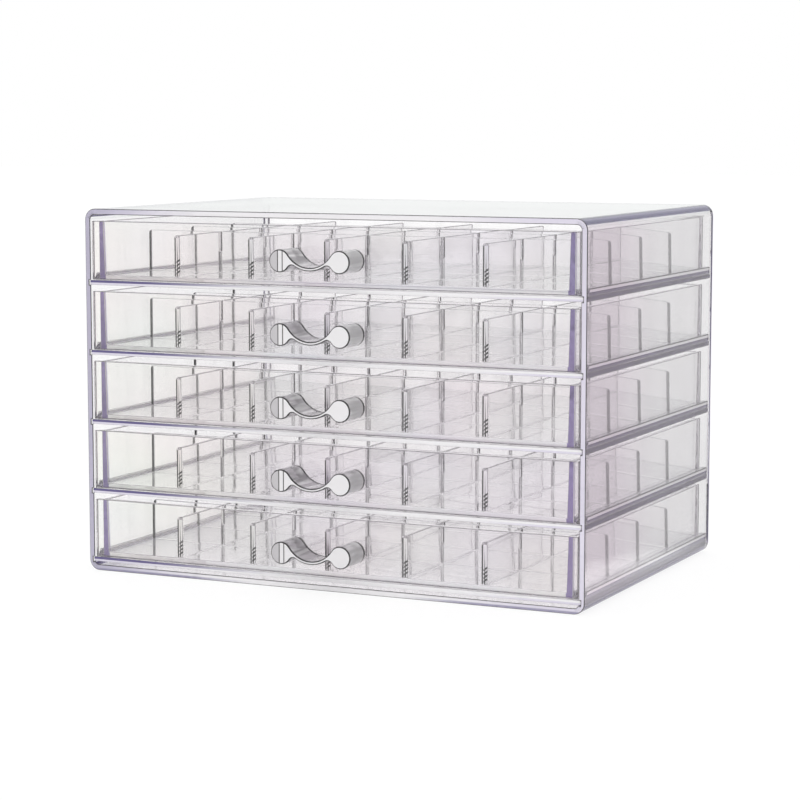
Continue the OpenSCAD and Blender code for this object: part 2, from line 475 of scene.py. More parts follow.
# Pale shade, deep shade, waves in a metre and wear of each clear plastic
SKINS = {
    "clear_case": (WHITE, (0.985, 0.98, 0.985), 14.0, 0.03),
    "clear_shelf": (WHITE, (0.994, 0.99, 0.994), 12.0, 0.02),
    "clear_rail": (WHITE, (0.985, 0.985, 0.995), 25.0, 0.02),
    "clear_tray": (WHITE, (0.994, 0.99, 0.994), 16.0, 0.02),
    "tray_bar": (*FROSTED, 40.0, 0.05),
    "clear_front": (WHITE, (0.99, 0.985, 0.99), 10.0, 0.03),
    "clear_handle": (WHITE, (0.975, 0.97, 0.975), 60.0, 0.02),
    "clear_divider": ((0.998, 0.994, 0.996), (0.992, 0.985, 0.989), 18.0, 0.02),
}
# Share of the deep shade, waves and wear of the plastics that carry painted shade all over
EDGE_SKIN, LINE_SKIN, FOOT_SKIN = (0.8, 90.0, 0.05), (0.7, 90.0, 0.05), (0.9, 40.0, 0.03)
PALE_SKIN = (60.0, 0.08)
# How dark the painted shade of each rounded edge is
EDGE_SHADES = {
    "case_edge": 0.10, "shelf_edge": 0.25, "rail_edge": 0.7, "tray_edge": 0.6, "front_edge": 0.42,
    "handle_edge": 0.06, "divider_edge": 0.5,
}
CORNER_CLEARNESS = 0.55
WIPE_STRETCH, WIPE_MARKS = (30.0, 400.0, 400.0), (0.55, 0.8)
# Strength and reach of the painted violet shade in the case's rounded edges
CORNER_GAIN, CORNER_REACH, OUTERMOST_SHARE = 3.0, 0.65, 0.4

# Places where the painted shade and light fade: lengths count from an edge of the piece, shares are of its
# half size
WALL_SHADE_SIDE, WALL_SHADE_DEPTH = (-3.0 * MM, -2.6 * MM), (0.2, 0.7)
END_DEPTH, END_FULL = (1.0 * MM, 2.0 * MM), 0.9
RIM_SHADE_FROM, SHELF_SHADE_FROM = 0.4, 0.5
RIM_ENDS, RIM_LEFT, RIM_LEFT_STRENGTH, RIM_FOOT = (0.25, 0.6), 0.6, 0.6, (1.4 * MM, 0.8 * MM)
SHELF_DEPTH, SHELF_SIDE = (0.0, MM), (-0.8 * MM, -0.3 * MM)
LIP_LEFT = (0.1, 0.8)
BAR_DEPTH, BAR_SOFT = (0.4 * MM, 1.5 * MM), 0.3 * MM
LONG_END_DEPTH, CROSS_DEPTH, CROSS_SIDE = (0.2 * MM, 0.8 * MM), (1.0, 2.0), (-0.95 * MM, -0.75 * MM)
WARM, PINK, LAVENDER = (1.0, 0.995, 0.965), (0.992, 0.978, 0.984), (0.99, 0.98, 0.99)
PATCHES = 26.0
# Painted highlights: pale streaks along the handle's sides
GLINT_STRETCH, GLINT_MARKS = (420.0, 30.0, 420.0), (0.50, 0.64)
# Painted light on the right lobe's outer side, and where the painted dark shade of the root starts
LOBE_SIDE, LOBE_LIGHT_SHARE, ROOT_DEPTH = (-3.5 * MM, -1.5 * MM), 0.6, (-1.8 * MM, -1.5 * MM)
# Painted shade and painted dark lines beside the bar on the left lobe's end
DISC_BAR, DISC_SHADE_SPAN = 0.3 * MM, (-0.9 * MM, -1.3 * MM)
DISC_LINE_IN, DISC_LINE_OUT = (0.75 * MM, 0.9 * MM), (1.3 * MM, 1.15 * MM)


class Net:
    """A node tree, with short ways to add the nodes that the looks need."""

    def __init__(self, tree):
        self.nodes = tree.nodes
        self.links = tree.links

    def feed(self, socket, value):
        """Links a socket to another one, or sets its value."""
        if isinstance(value, bpy.types.NodeSocket):
            self.links.new(value, socket)
        else:
            socket.default_value = value

    def feed_by_name(self, node, values):
        """Feeds some of a node's inputs; the underscores in their names stand for spaces."""
        for name, value in values.items():
            self.feed(node.inputs[name.replace("_", " ").title()], value)

    def node(self, kind, **values):
        """The outputs of a new shader node."""
        node = self.nodes.new(f"ShaderNode{kind}")
        self.feed_by_name(node, values)
        return node.outputs

    def group(self, tree, **values):
        """The outputs of a new group node."""
        node = self.nodes.new("ShaderNodeGroup")
        node.node_tree = tree
        self.feed_by_name(node, values)
        return node.outputs

    def math(self, operation, *values):
        """A Math node whose inputs are numbers or sockets."""
        node = self.nodes.new("ShaderNodeMath")
        node.operation = operation
        for socket, value in zip(node.inputs, values):
            self.feed(socket, value)
        return node.outputs["Value"]

    def dot(self, vector, direction):
        """The length of a vector along a direction."""
        node = self.nodes.new("ShaderNodeVectorMath")
        node.operation = "DOT_PRODUCT"
        self.feed(node.inputs[0], vector)
        self.feed(node.inputs[1], direction)
        return node.outputs["Value"]

    def step(self, value, start, end):
        """A smooth step from 0 at start to 1 at end; both may be sockets."""
        node = self.nodes.new("ShaderNodeMapRange")
        node.interpolation_type = "SMOOTHSTEP"
        self.feed_by_name(node, {"value": value, "from_min": start, "from_max": end})
        return node.outputs["Result"]

    def fade(self, value, edge, span):
        """A smooth step over a span that counts from an edge."""
        return self.step(value, edge + span[0], edge + span[1])

    def mix(self, factor, first, second, blend="MIX"):
        """A colour mix whose inputs are colours or sockets."""
        node = self.nodes.new("ShaderNodeMix")
        node.data_type = "RGBA"
        node.blend_type = blend
        self.feed(node.inputs["Factor"], factor)
        for name, colour in (("A", first), ("B", second)):
            is_socket = isinstance(colour, bpy.types.NodeSocket)
            self.feed(node.inputs[name], colour if is_socket else (*colour, 1.0))
        return node.outputs["Result"]

    def place(self):
        """The Object coordinates."""
        return self.node("TexCoord")["Object"]

    def axis(self, name):
        """One of the Object coordinates."""
        return self.node("SeparateXYZ", vector=self.place())[name]


def shared_group(name, inputs, outputs, fill):
    """The node group of that name, which fill(net, given, result) builds on first use."""
    if name in bpy.data.node_groups:
        return bpy.data.node_groups[name]
    tree = bpy.data.node_groups.new(name, "ShaderNodeTree")
    for socket, default in inputs.items():
        kind = "NodeSocketFloat" if isinstance(default, float) else "NodeSocketColor"
        tree.interface.new_socket(name=socket, in_out="INPUT", socket_type=kind).default_value = default
    for socket, kind in outputs.items():
        tree.interface.new_socket(name=socket, in_out="OUTPUT", socket_type=kind)
    net = Net(tree)
    fill(net, net.nodes.new("NodeGroupInput").outputs, net.nodes.new("NodeGroupOutput").inputs)
    return tree


def moulded_skin_group():
    """Slow moulding waves, fine wiping marks and a faint drift of tint, shared by all the plastics."""
    def fill(net, given, result):
        place = net.place()
        waves = net.node("TexNoise", vector=place, scale=given["Wave Size"], detail=1.0)["Fac"]
        net.feed(result["Height"], waves)
        net.feed(result["Tint"], net.mix(waves, given["Pale"], given["Deep"]))
        stretched = net.node("Mapping", vector=place, scale=WIPE_STRETCH)["Vector"]
        wipes = net.node("TexNoise", vector=stretched, scale=1.0, detail=3.0)["Fac"]
        marks = net.node("MapRange", value=wipes, from_min=WIPE_MARKS[0], from_max=WIPE_MARKS[1])["Result"]
        net.feed(result["Roughness"], net.math("MULTIPLY", marks, given["Wear"]))
    return shared_group(
        "moulded_skin", {"Pale": (*WHITE, 1.0), "Deep": (*WHITE, 1.0), "Wave Size": 20.0, "Wear": 0.02},
        {"Tint": "NodeSocketColor", "Roughness": "NodeSocketFloat", "Height": "NodeSocketFloat"}, fill)


def front_end_group():
    """Mask of a piece's front end: 1 in front of a plane, and only as far out to the sides as asked."""
    def fill(net, given, result):
        behind = net.step(net.axis("Y"), given["Solid To"], given["Gone At"])
        before = net.math("SUBTRACT", 1.0, behind)
        aside = net.step(net.math("ABSOLUTE", net.axis("X")), given["Side From"], given["Side To"])
        net.feed(result["Mask"], net.math("MULTIPLY", before, aside))
    return shared_group(
        "front_end", {"Solid To": 0.0, "Gone At": 0.001, "Side From": -1.0, "Side To": -0.5},
        {"Mask": "NodeSocketFloat"}, fill)


def outer_edge_group():
    """Masks of the rounded edges from front to back of a case that stands on the origin, where violet shade
    is painted.
    """
    def fill(net, given, result):
        half_width, half_height, reach = given["Half Width"], given["Half Height"], given["Reach"]
        away = net.math("ABSOLUTE", net.axis("X"))
        from_middle = net.math("ABSOLUTE", net.math("SUBTRACT", net.axis("Z"), half_height))
        aside = net.step(away, net.math("SUBTRACT", half_width, reach), half_width)
        above = net.step(from_middle, net.math("SUBTRACT", half_height, reach), half_height)
        share = net.math("MULTIPLY", net.math("MULTIPLY", aside, above), CORNER_GAIN)
        net.feed(result["Mask"], net.math("MINIMUM", share, 1.0))
        near_side = net.math("MULTIPLY_ADD", reach, -OUTERMOST_SHARE, half_width)
        net.feed(result["Outermost"], net.step(away, near_side, half_width))
    return shared_group(
        "outer_edge", {"Half Width": 0.1, "Half Height": 0.1, "Reach": 0.004},
        {"Mask": "NodeSocketFloat", "Outermost": "NodeSocketFloat"}, fill)


def front_mask(net, edge, span, **sides):
    """Mask of a piece's front end, which fades out over a span that counts from an edge."""
    return net.group(front_end_group(), solid_to=edge + span[0], gone_at=edge + span[1], **sides)["Mask"]


def clear_plastic(name, tint=None, clearness=1.0, skin=None):
    """Clear plastic: polished, slightly wavy, and tinted by the way that light takes through it.

    tint(net, colour) may turn the skin's colour into another one.
    """
    pale, deep, waves, wear = skin or SKINS[name]
    material = bpy.data.materials.new(name)
    material.use_nodes = True
    net = Net(material.node_tree)
    shader = net.nodes["Principled BSDF"]
    shader.inputs["Transmission Weight"].default_value = clearness
    shader.inputs["Metallic"].default_value = 0.0
    shader.inputs["IOR"].default_value = finish().ior

    skin_parts = net.group(moulded_skin_group(), pale=(*pale, 1.0), deep=(*deep, 1.0),
                           wave_size=waves, wear=wear)
    colour = skin_parts["Tint"]
    if tint is not None:
        colour = tint(net, colour)
    bump = net.node("Bump", distance=finish().wave_depth, height=skin_parts["Height"])
    net.feed(shader.inputs["Base Color"], colour)
    net.feed(shader.inputs["Roughness"], skin_parts["Roughness"])
    net.feed(shader.inputs["Normal"], bump["Normal"])

    body = net.node("VolumeAbsorption", color=(*finish().absorb_colour, 1.0),
                    density=finish().absorb_density)
    net.feed(net.nodes["Material Output"].inputs["Volume"], body["Volume"])
    return material


def shaded_plastic(name, colour, skin, clearness):
    """Plastic of one shade that drifts a little into a deeper one."""
    pale = Vector(colour)
    deepening, waves, wear = skin
    return clear_plastic(name, clearness=clearness, skin=(pale, pale * deepening, waves, wear))


def edge_plastic(name):
    """The plastic of a rounded edge, which passes less light and is painted darker: painted shade that reads
    as a fine line.
    """
    shade = Vector(finish().edge_line_shade) * EDGE_SHADES[name]
    return shaded_plastic(name, shade, EDGE_SKIN, finish().edge_clearness)


def line_plastic(name):
    """The plastic of an edge that shows as a crisp dark line of painted shade."""
    return shaded_plastic(name, finish().dark_line_shade, LINE_SKIN, finish().line_clearness)


def pale_plastic(name, tint=None):
    """The slightly frosted plastic of a sawn or moulded end, which catches the light."""
    return clear_plastic(name, tint, finish().pale_clearness, (*FROSTED, *PALE_SKIN))


def case_painted_shade(net, colour):
    """Painted shade on the front part of the right wall, and painted violet shade in the rounded edges."""
    low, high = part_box("outer_case")
    # Painted shade on the front part of the right wall
    on_right = net.fade(net.axis("X"), high.x, WALL_SHADE_SIDE)
    in_front = net.step(net.axis("Y"), WALL_SHADE_DEPTH[0] * high.y, WALL_SHADE_DEPTH[1] * low.y)
    colour = net.mix(net.math("MULTIPLY", on_right, in_front), colour, finish().wall_front_shade)
    edges = net.group(outer_edge_group(), half_width=high.x, half_height=high.z / 2,
                      reach=sizes().case_outer_r * CORNER_REACH)
    violet = net.mix(edges["Outermost"], finish().violet_edge_shade, finish().deep_edge_shade)
    return net.mix(edges["Mask"], colour, violet)


def violet_end_shade(node, start):
    """Returns a tint that paints violet shade towards both ends of a piece's front face."""
    def tint(net, colour):
        low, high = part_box(node)
        ends = front_mask(net, low.y, END_DEPTH, side_from=start * high.x, side_to=END_FULL * high.x)
        return net.mix(ends, colour, finish().rim_end_shade)
    return tint


def rim_painted_shade(net, colour):
    """Painted lavender shade towards both ends of the case's rim, deeper at the left and along the foot."""
    low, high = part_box("outer_case")
    colour = violet_end_shade("outer_case", RIM_SHADE_FROM)(net, colour)
    x = net.axis("X")
    ends = net.step(net.math("ABSOLUTE", x), RIM_ENDS[0] * high.x, RIM_ENDS[1] * high.x)
    foot = net.step(net.axis("Z"), *RIM_FOOT)
    left = net.step(x, RIM_LEFT * low.x, low.x)
    shade = net.math("MAXIMUM", net.math("MULTIPLY", ends, foot),
                     net.math("MULTIPLY", left, RIM_LEFT_STRENGTH))
    return net.mix(shade, colour, finish().violet_edge_shade)


def shelf_painted_shade(net, colour):
    """Painted violet shade along a shelf's sides."""
    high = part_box("shelf_1")[1]
    sides = front_mask(net, high.y, SHELF_DEPTH,
                       side_from=high.x + SHELF_SIDE[0], side_to=high.x + SHELF_SIDE[1])
    return net.mix(sides, colour, finish().violet_side_shade)


def lip_painted_shade(net, colour):
    """Painted deep violet shade at the left end of a shelf's lip, which fades to the right."""
    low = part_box("shelf_1")[0]
    left = net.step(net.axis("X"), LIP_LEFT[0] * low.x, LIP_LEFT[1] * low.x)
    return net.mix(left, colour, finish().deep_edge_shade)


def tray_painted_shade(net, colour):
    """Painted violet shade on the bars where the tray's side walls end behind the drawer front."""
    low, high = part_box(f"{FIRST}_tray")
    inner_x = high.x - (sizes().tray_wall + sizes().tray_draft)
    bars = front_mask(net, low.y, BAR_DEPTH, side_from=inner_x - BAR_SOFT, side_to=inner_x)
    return net.mix(bars, colour, finish().bar_shade)


def front_tint(net, colour):
    """A drift over the drawer front from warm at the left, by pink, to lavender at the right."""
    low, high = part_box(f"{FIRST}_front")
    x = net.axis("X")
    drift = net.mix(net.step(x, low.x, 0.0), WARM, PINK)
    drift = net.mix(net.step(x, 0.0, high.x), drift, LAVENDER)
    patches = net.node("TexNoise", vector=net.place(), scale=PATCHES, detail=0.0)["Color"]
    drift = net.mix(finish().pastel, drift, patches)
    return net.mix(1.0, colour, drift, "MULTIPLY")


def divider_painted_shade(net, colour):
    """Painted grey shade on the front ends of the long dividers and painted dark shade on the ends of the
    cross dividers.
    """
    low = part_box(f"{FIRST}_long_dividers")[0]
    cross_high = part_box(f"{FIRST}_cross_divider_1")[1]
    colour = net.mix(front_mask(net, low.y, LONG_END_DEPTH), colour, finish().long_end_shade)
    sides = front_mask(net, cross_high.y, CROSS_DEPTH,
                       side_from=cross_high.x + CROSS_SIDE[0], side_to=cross_high.x + CROSS_SIDE[1])
    return net.mix(sides, colour, finish().dark_line_shade)


def handle_light_and_shade(net, colour):
    """Painted grey shade on the sides, painted highlights as pale streaks from front to back, painted light
    that makes the right lobe's outer side paler, and painted dark shade at the root.
    """
    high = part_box(f"{FIRST}_handle")[1]
    stretched = net.node("Mapping", vector=net.place(), scale=GLINT_STRETCH)["Vector"]
    glints = net.node("TexNoise", vector=stretched, scale=1.0, detail=1.0)["Fac"]
    outer = net.fade(net.axis("X"), high.x, LOBE_SIDE)
    pale = net.math("MAXIMUM", net.step(glints, *GLINT_MARKS), net.math("MULTIPLY", outer, LOBE_LIGHT_SHARE))
    sides = net.mix(pale, finish().handle_side_shade, colour)
    return net.mix(front_mask(net, high.y, ROOT_DEPTH), finish().dark_line_shade, sides)


def disc_painted_shade(net, colour):
    """Pale end of the handle, with painted grey shade at the left of a bar up the left lobe and painted dark
    lines at its sides.
    """
    low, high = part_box(f"{FIRST}_handle")
    bar_x = low.x + (high.z - low.z) / 2 + DISC_BAR
    x = net.axis("X")
    from_bar = net.math("ABSOLUTE", net.math("SUBTRACT", x, bar_x))
    line = net.math("MULTIPLY", net.step(from_bar, *DISC_LINE_IN), net.step(from_bar, *DISC_LINE_OUT))
    colour = net.mix(net.fade(x, bar_x, DISC_SHADE_SPAN), colour, finish().disc_side_shade)
    return net.mix(line, colour, finish().dark_line_shade)


# Operators that model the pieces


class JEWEL_OT_case(bpy.types.Operator):
    """Models the one-piece case with its open front"""

    bl_idname = "jewel.case"
    bl_label = "Case"

    def execute(self, context):
        size = sizes()
        low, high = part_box("outer_case")
        rail_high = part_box("right_rail_1")[1]
        wall = high.x - rail_high.x
        cavity_depth = rail_high.y - low.y
        case = add_block("case_shell", low, high)
        # Painted deep violet shade on the corner lines, up the back and on the sides behind the rails
        corner = shaded_plastic("case_corner", finish().deep_edge_shade, EDGE_SKIN, CORNER_CLEARNESS)
        dress(case, clear_plastic("clear_case", case_painted_shade), edge_plastic("case_edge"), corner,
              pale_plastic("case_rim", rim_painted_shade))
        pick_edges(case, lambda a, b: not near(a.y, b.y))
        bevel_picked(size.case_outer_r, size.round_steps)
        pick_edges(case, edges_at(high.y))
        bevel_picked(size.case_back_r, size.round_steps // 2)
        pick_faces(case, front_faces(low.y))
        bpy.ops.mesh.inset(thickness=wall, depth=0.0)
        extrude_picked((0.0, cavity_depth, 0.0))
        leave_edit()
        self.cut_grooves(case)
        pick_edges(case, edges_at(low.y))
        bevel_picked(size.case_soft, steps=3, finish_slot=EDGE_SLOT)
        split(case, (0.0, rail_high.y, 0.0), ALONG_Y,
              lambda centre, normal: near(abs(centre.x), high.x) and abs(normal.x) > FACING)
        refinish(case, CORNER_SLOT,
                 lambda centre, normal: self.on_corner_line(centre, normal, high, wall)
                 or (near(abs(centre.x), high.x) and centre.y > rail_high.y))
        refinish(case, PALE_SLOT, front_faces(low.y))
        smooth(case)
        install(case, "outer_case", "case")
        return {"FINISHED"}

    def on_corner_line(self, centre, normal, high, wall):
        """True in the middle of the rounded inner edges, on strips of the outer ones, and up the back, where
        deep violet shade is painted.
        """
        if normal.y > HARDLY:
            return abs(normal.x) > HARDLY and abs(normal.z) < HARDLY
        depth = min(high.x - abs(centre.x), centre.z, high.z - centre.z)
        inward = depth > INNER_SHARE * wall
        slanted = min(abs(normal.x), abs(normal.z)) > STEEP
        outer = CORNER_STRIP[0] < abs(normal.z) < CORNER_STRIP[1] and not inward
        return normal.y > -HARDLY and ((inward and slanted) or outer)

    def cut_grooves(self, case):
        """Grooves in the side walls that hold the shelves."""
        seam = sizes().seam
        case_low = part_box("outer_case")[0]
        cutters = []
        for k in LEVELS:
            low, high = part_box(f"shelf_{k}")
            play = Vector((2 * seam, 0.0, seam))
            ahead = Vector((0.0, low.y - case_low.y + MM, 0.0))
            cutters.append(add_block("groove", low - play - ahead, high + play))
        cut_away(case, cutters)


class JEWEL_OT_shelves(bpy.types.Operator):
    """Models one shelf and copies it to every level"""

    bl_idname = "jewel.shelves"
    bl_label = "Shelves"

    def execute(self, context):
        size = sizes()
        low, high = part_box("shelf_1")
        first = add_block("shelf_plate_1", low, high - Vector((0, size.seam, 0)))
        dress(first, clear_plastic("clear_shelf", shelf_painted_shade), edge_plastic("shelf_edge"),
              pale_plastic("shelf_front", violet_end_shade("shelf_1", SHELF_SHADE_FROM)),
              pale_plastic("shelf_lip", lip_painted_shade))
        lip_z = high.z - size.shelf_lip
        split(first, (0.0, 0.0, lip_z), ALONG_Z, lambda centre, normal: normal.y < -FACING)
        soften(first, size.plate_soft)
        refinish(first, SHELF_FRONT_SLOT, lambda centre, normal: normal.y < -FACING)
        refinish(first, SHELF_LIP_SLOT, lambda centre, normal: normal.y < -FACING and centre.z > lip_z)
        smooth(first)
        install_levels(first, "shelf", "shelf_plate")
        return {"FINISHED"}


class JEWEL_OT_rails(bpy.types.Operator):
    """Models a guide rail with its sloped front end, and copies it to both sides of every shelf"""

    bl_idname = "jewel.rails"
    bl_label = "Rails"

    def execute(self, context):
        size = sizes()
        low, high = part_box("left_rail_1")
        gap = Vector((size.seam, size.seam, size.seam))
        first = add_block("left_guide_1", low + gap, high - gap)
        front_y = low.y + size.seam
        middle_z = (low.z + high.z) / 2
        pick_edges(first, lambda a, b: all(near(v.y, front_y) and v.z > middle_z for v in (a, b)))
        bpy.ops.transform.translate(value=(0.0, size.rail_lead, 0.0))
        leave_edit()
        foot_top = low.z + size.rail_foot
        line_low = high.z - size.rail_line
        for z in (foot_top, line_low):
            split(first, (0.0, 0.0, z), ALONG_Z)
        # Painted violet shade on the rail's foot
        foot = shaded_plastic("rail_foot", finish().violet_side_shade, FOOT_SKIN, finish().edge_clearness)
        dress(first, clear_plastic("clear_rail"), edge_plastic("rail_edge"), line_plastic("rail_line"),
              pale_plastic("rail_strip"), foot)
        soften(first, size.plate_soft)
        smooth(first)
        twin = copy_to(first, "right_guide_1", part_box("right_rail_1")[0] - low)
        for model, side, outward in ((first, "left", -1), (twin, "right", 1)):
            # Painted shade: a dark line along the top of the sides and violet on the foot
            bands = ((LINE_SLOT, SLANTED, line_low, high.z), (PALE_SLOT, FACING, foot_top, line_low),
                     (DEEP_SLOT, FACING, low.z, foot_top))
            for slot, limit, bottom, top in bands:
                refinish(model, slot,
                         lambda centre, normal: outward * normal.x > limit and bottom < centre.z < top)
            install_levels(model, f"{side}_rail", f"{side}_guide")
        return {"FINISHED"}


class JEWEL_OT_trays(bpy.types.Operator):
    """Models a tray with leaning walls and no front, and copies it to every drawer"""

    bl_idname = "jewel.trays"
    bl_label = "Trays"

    def execute(self, context):
        size = sizes()
        low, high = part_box(f"{FIRST}_tray")
        floor_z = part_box(f"{FIRST}_long_dividers")[0].z - size.seam
        front_y = low.y + size.seam
        spare = SPARE_WALLS * size.tray_wall
        tray = add_block(f"{FIRST}_tray_shell", low - Vector((0, spare, 0)), high)
        pick_faces(tray, lambda centre, normal: normal.z > FACING)
        bpy.ops.mesh.inset(thickness=size.tray_wall, depth=0.0)
        extrude_picked((0.0, 0.0, floor_z - high.z))
        bpy.ops.mesh.inset(thickness=size.tray_draft, depth=0.0)
        leave_edit()
        self.lean_walls(tray, floor_z)
        pick_all(tray)
        bpy.ops.mesh.bisect(plane_co=(0.0, front_y, 0.0), plane_no=ALONG_Y, use_fill=True, clear_inner=True)
        leave_edit()
        back_y = high.y - size.tray_wall
        line_y = high.y - size.tray_back_line
        split(tray, (0.0, back_y, 0.0), ALONG_Y)
        split(tray, (0.0, line_y, 0.0), ALONG_Y,
              lambda centre, normal: near(abs(centre.x), high.x) and centre.y > back_y)
        dress(tray, clear_plastic("clear_tray", tray_painted_shade), edge_plastic("tray_edge"),
              line_plastic("tray_line"), pale_plastic("tray_back_end"),
              clear_plastic("tray_bar", tray_painted_shade, finish().bar_clearness))
        soften(tray, size.plate_soft)
        refinish(tray, BODY_SLOT, lambda centre, normal: centre.z < floor_z + size.tray_wall)
        # Painted violet shade on the front ends of the side walls
        refinish(tray, DEEP_SLOT, front_faces(front_y))
        refinish(tray, PALE_SLOT, lambda centre, normal: near(abs(centre.x), high.x) and centre.y > back_y)
        # Painted dark shade up the back end of the sides
        refinish(tray, LINE_SLOT, lambda centre, normal: abs(normal.x) > SLANTED and centre.y > line_y)
        smooth(tray)
        install_in_drawers(tray, "tray", "tray_shell")
        return {"FINISHED"}

    def lean_walls(self, tray, floor_z):
        """Removes the ledge at the foot of the walls, so that they lean from the rim to the floor."""
        mesh = tray.data
        floor_faces = [f for f in mesh.polygons if near(f.center.z, floor_z) and f.normal.z > FACING]
        inner = max(floor_faces, key=lambda f: f.area)
        keep = set(inner.vertices)
        for vertex in mesh.vertices:
            on_floor = near(vertex.co.z, floor_z)
            if on_floor and vertex.index not in keep:
                twin = min((mesh.vertices[i].co for i in keep), key=lambda co: (co - vertex.co).length)
                vertex.co = twin
        pick_all(tray)
        bpy.ops.mesh.remove_doubles(threshold=TOUCH / 2)
        leave_edit()


class JEWEL_OT_fronts(bpy.types.Operator):
    """Models a drawer front and copies it to every drawer"""

    bl_idname = "jewel.fronts"
    bl_label = "Drawer fronts"

    def execute(self, context):
        low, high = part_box(f"{FIRST}_front")
        front = add_block(f"{FIRST}_front_panel", low, high)
        dress(front, clear_plastic("clear_front", front_tint), edge_plastic("front_edge"))
        soften(front, sizes().plate_soft, steps=3)
        smooth(front)
        install_in_drawers(front, "front", "front_panel")
        return {"FINISHED"}


class JEWEL_OT_handles(bpy.types.Operator):
    """Models the bow-shaped handle and copies it to every drawer"""

    bl_idname = "jewel.handles"
    bl_label = "Handles"

    def execute(self, context):
        size = sizes()
        low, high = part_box(f"{FIRST}_handle")
        back_y = high.y - size.seam
        lobe_r = (high.z - low.z) / 2
        outline = self.outline(lobe_r, (high.x - low.x) / 2 - lobe_r)
        deselect_all()
        bpy.ops.mesh.primitive_circle_add(vertices=len(outline), radius=1.0, fill_type="NGON")
        handle = bpy.context.active_object
        handle.name = f"{FIRST}_bow_handle"
        handle.data.name = handle.name
        middle_z = (low.z + high.z) / 2
        for vertex, (x, z) in zip(handle.data.vertices, outline):
            vertex.co = (x, low.y, middle_z + z)
        pick_all(handle)
        extrude_picked((0.0, back_y - low.y, 0.0))
        bpy.ops.mesh.select_all(action="SELECT")
        bpy.ops.mesh.normals_make_consistent(inside=False)
        leave_edit()
        dress(handle, clear_plastic("clear_handle", handle_light_and_shade, finish().handle_clearness),
              edge_plastic("handle_edge"), pale_plastic("handle_disc", disc_painted_shade))
        pick_edges(handle, edges_at(low.y))
        bevel_picked(size.handle_soft, steps=4, finish_slot=EDGE_SLOT)
        pick_edges(handle, edges_at(back_y))
        bevel_picked(size.handle_root, steps=2, finish_slot=EDGE_SLOT)
        refinish(handle, DISC_SLOT, front_faces(low.y))
        smooth(handle)
        install_in_drawers(handle, "handle", "bow_handle")
        return {"FINISHED"}

    def arc(self, centre, radius, start, end, steps):
        """Points on an arc, both ends left in."""
        turns = [start + (end - start) * i / steps for i in range(steps + 1)]
        return [(centre[0] + radius * math.cos(t), centre[1] + radius * math.sin(t)) for t in turns]

    def outline(self, lobe_r, lobe_x):
        """The bow's outline in X and Z about its middle: lobes, hollow, ribbon underside and fillets."""
        size = sizes()
        sag, thick, fillet = size.handle_sag, size.handle_ribbon, size.handle_fillet
        upper_r = (lobe_x ** 2 + sag ** 2 - lobe_r ** 2) / (2 * (lobe_r + sag))
        centre_z = upper_r - sag
        reach = upper_r + lobe_r
        lower_r = upper_r + thick
        far = lower_r + fillet
        ray = (lobe_x / reach, -centre_z / reach)
        along = (far ** 2 + reach ** 2 - (lobe_r + fillet) ** 2) / (2 * reach)
        across = math.sqrt(far ** 2 - along ** 2)
        fillet_x = along * ray[0] + across * ray[1]
        fillet_z = centre_z + along * ray[1] - across * ray[0]
        hollow_turn = math.atan2(ray[1], ray[0])
        lobe_top = hollow_turn + math.pi
        lobe_under = math.atan2(fillet_z, fillet_x - lobe_x)
        fillet_lobe = lobe_under + math.pi
        fillet_ribbon = math.atan2(centre_z - fillet_z, -fillet_x)
        ribbon_turn = math.atan2(fillet_z - centre_z, fillet_x)
        if lobe_under > 0:
            lobe_under -= math.tau
        right = self.arc((lobe_x, 0.0), lobe_r, lobe_top, lobe_under, LOBE_STEPS)
        right += self.arc((fillet_x, fillet_z), fillet, fillet_lobe, fillet_ribbon, FILLET_STEPS)[1:]
        right += self.arc((0.0, centre_z), lower_r, ribbon_turn, -math.pi / 2, RIBBON_STEPS)[1:]
        left = [(-x, z) for x, z in reversed(right[:-1])]
        hollow = self.arc((0.0, centre_z), upper_r, -math.pi - hollow_turn, hollow_turn, HOLLOW_STEPS)[1:-1]
        return right + left + hollow


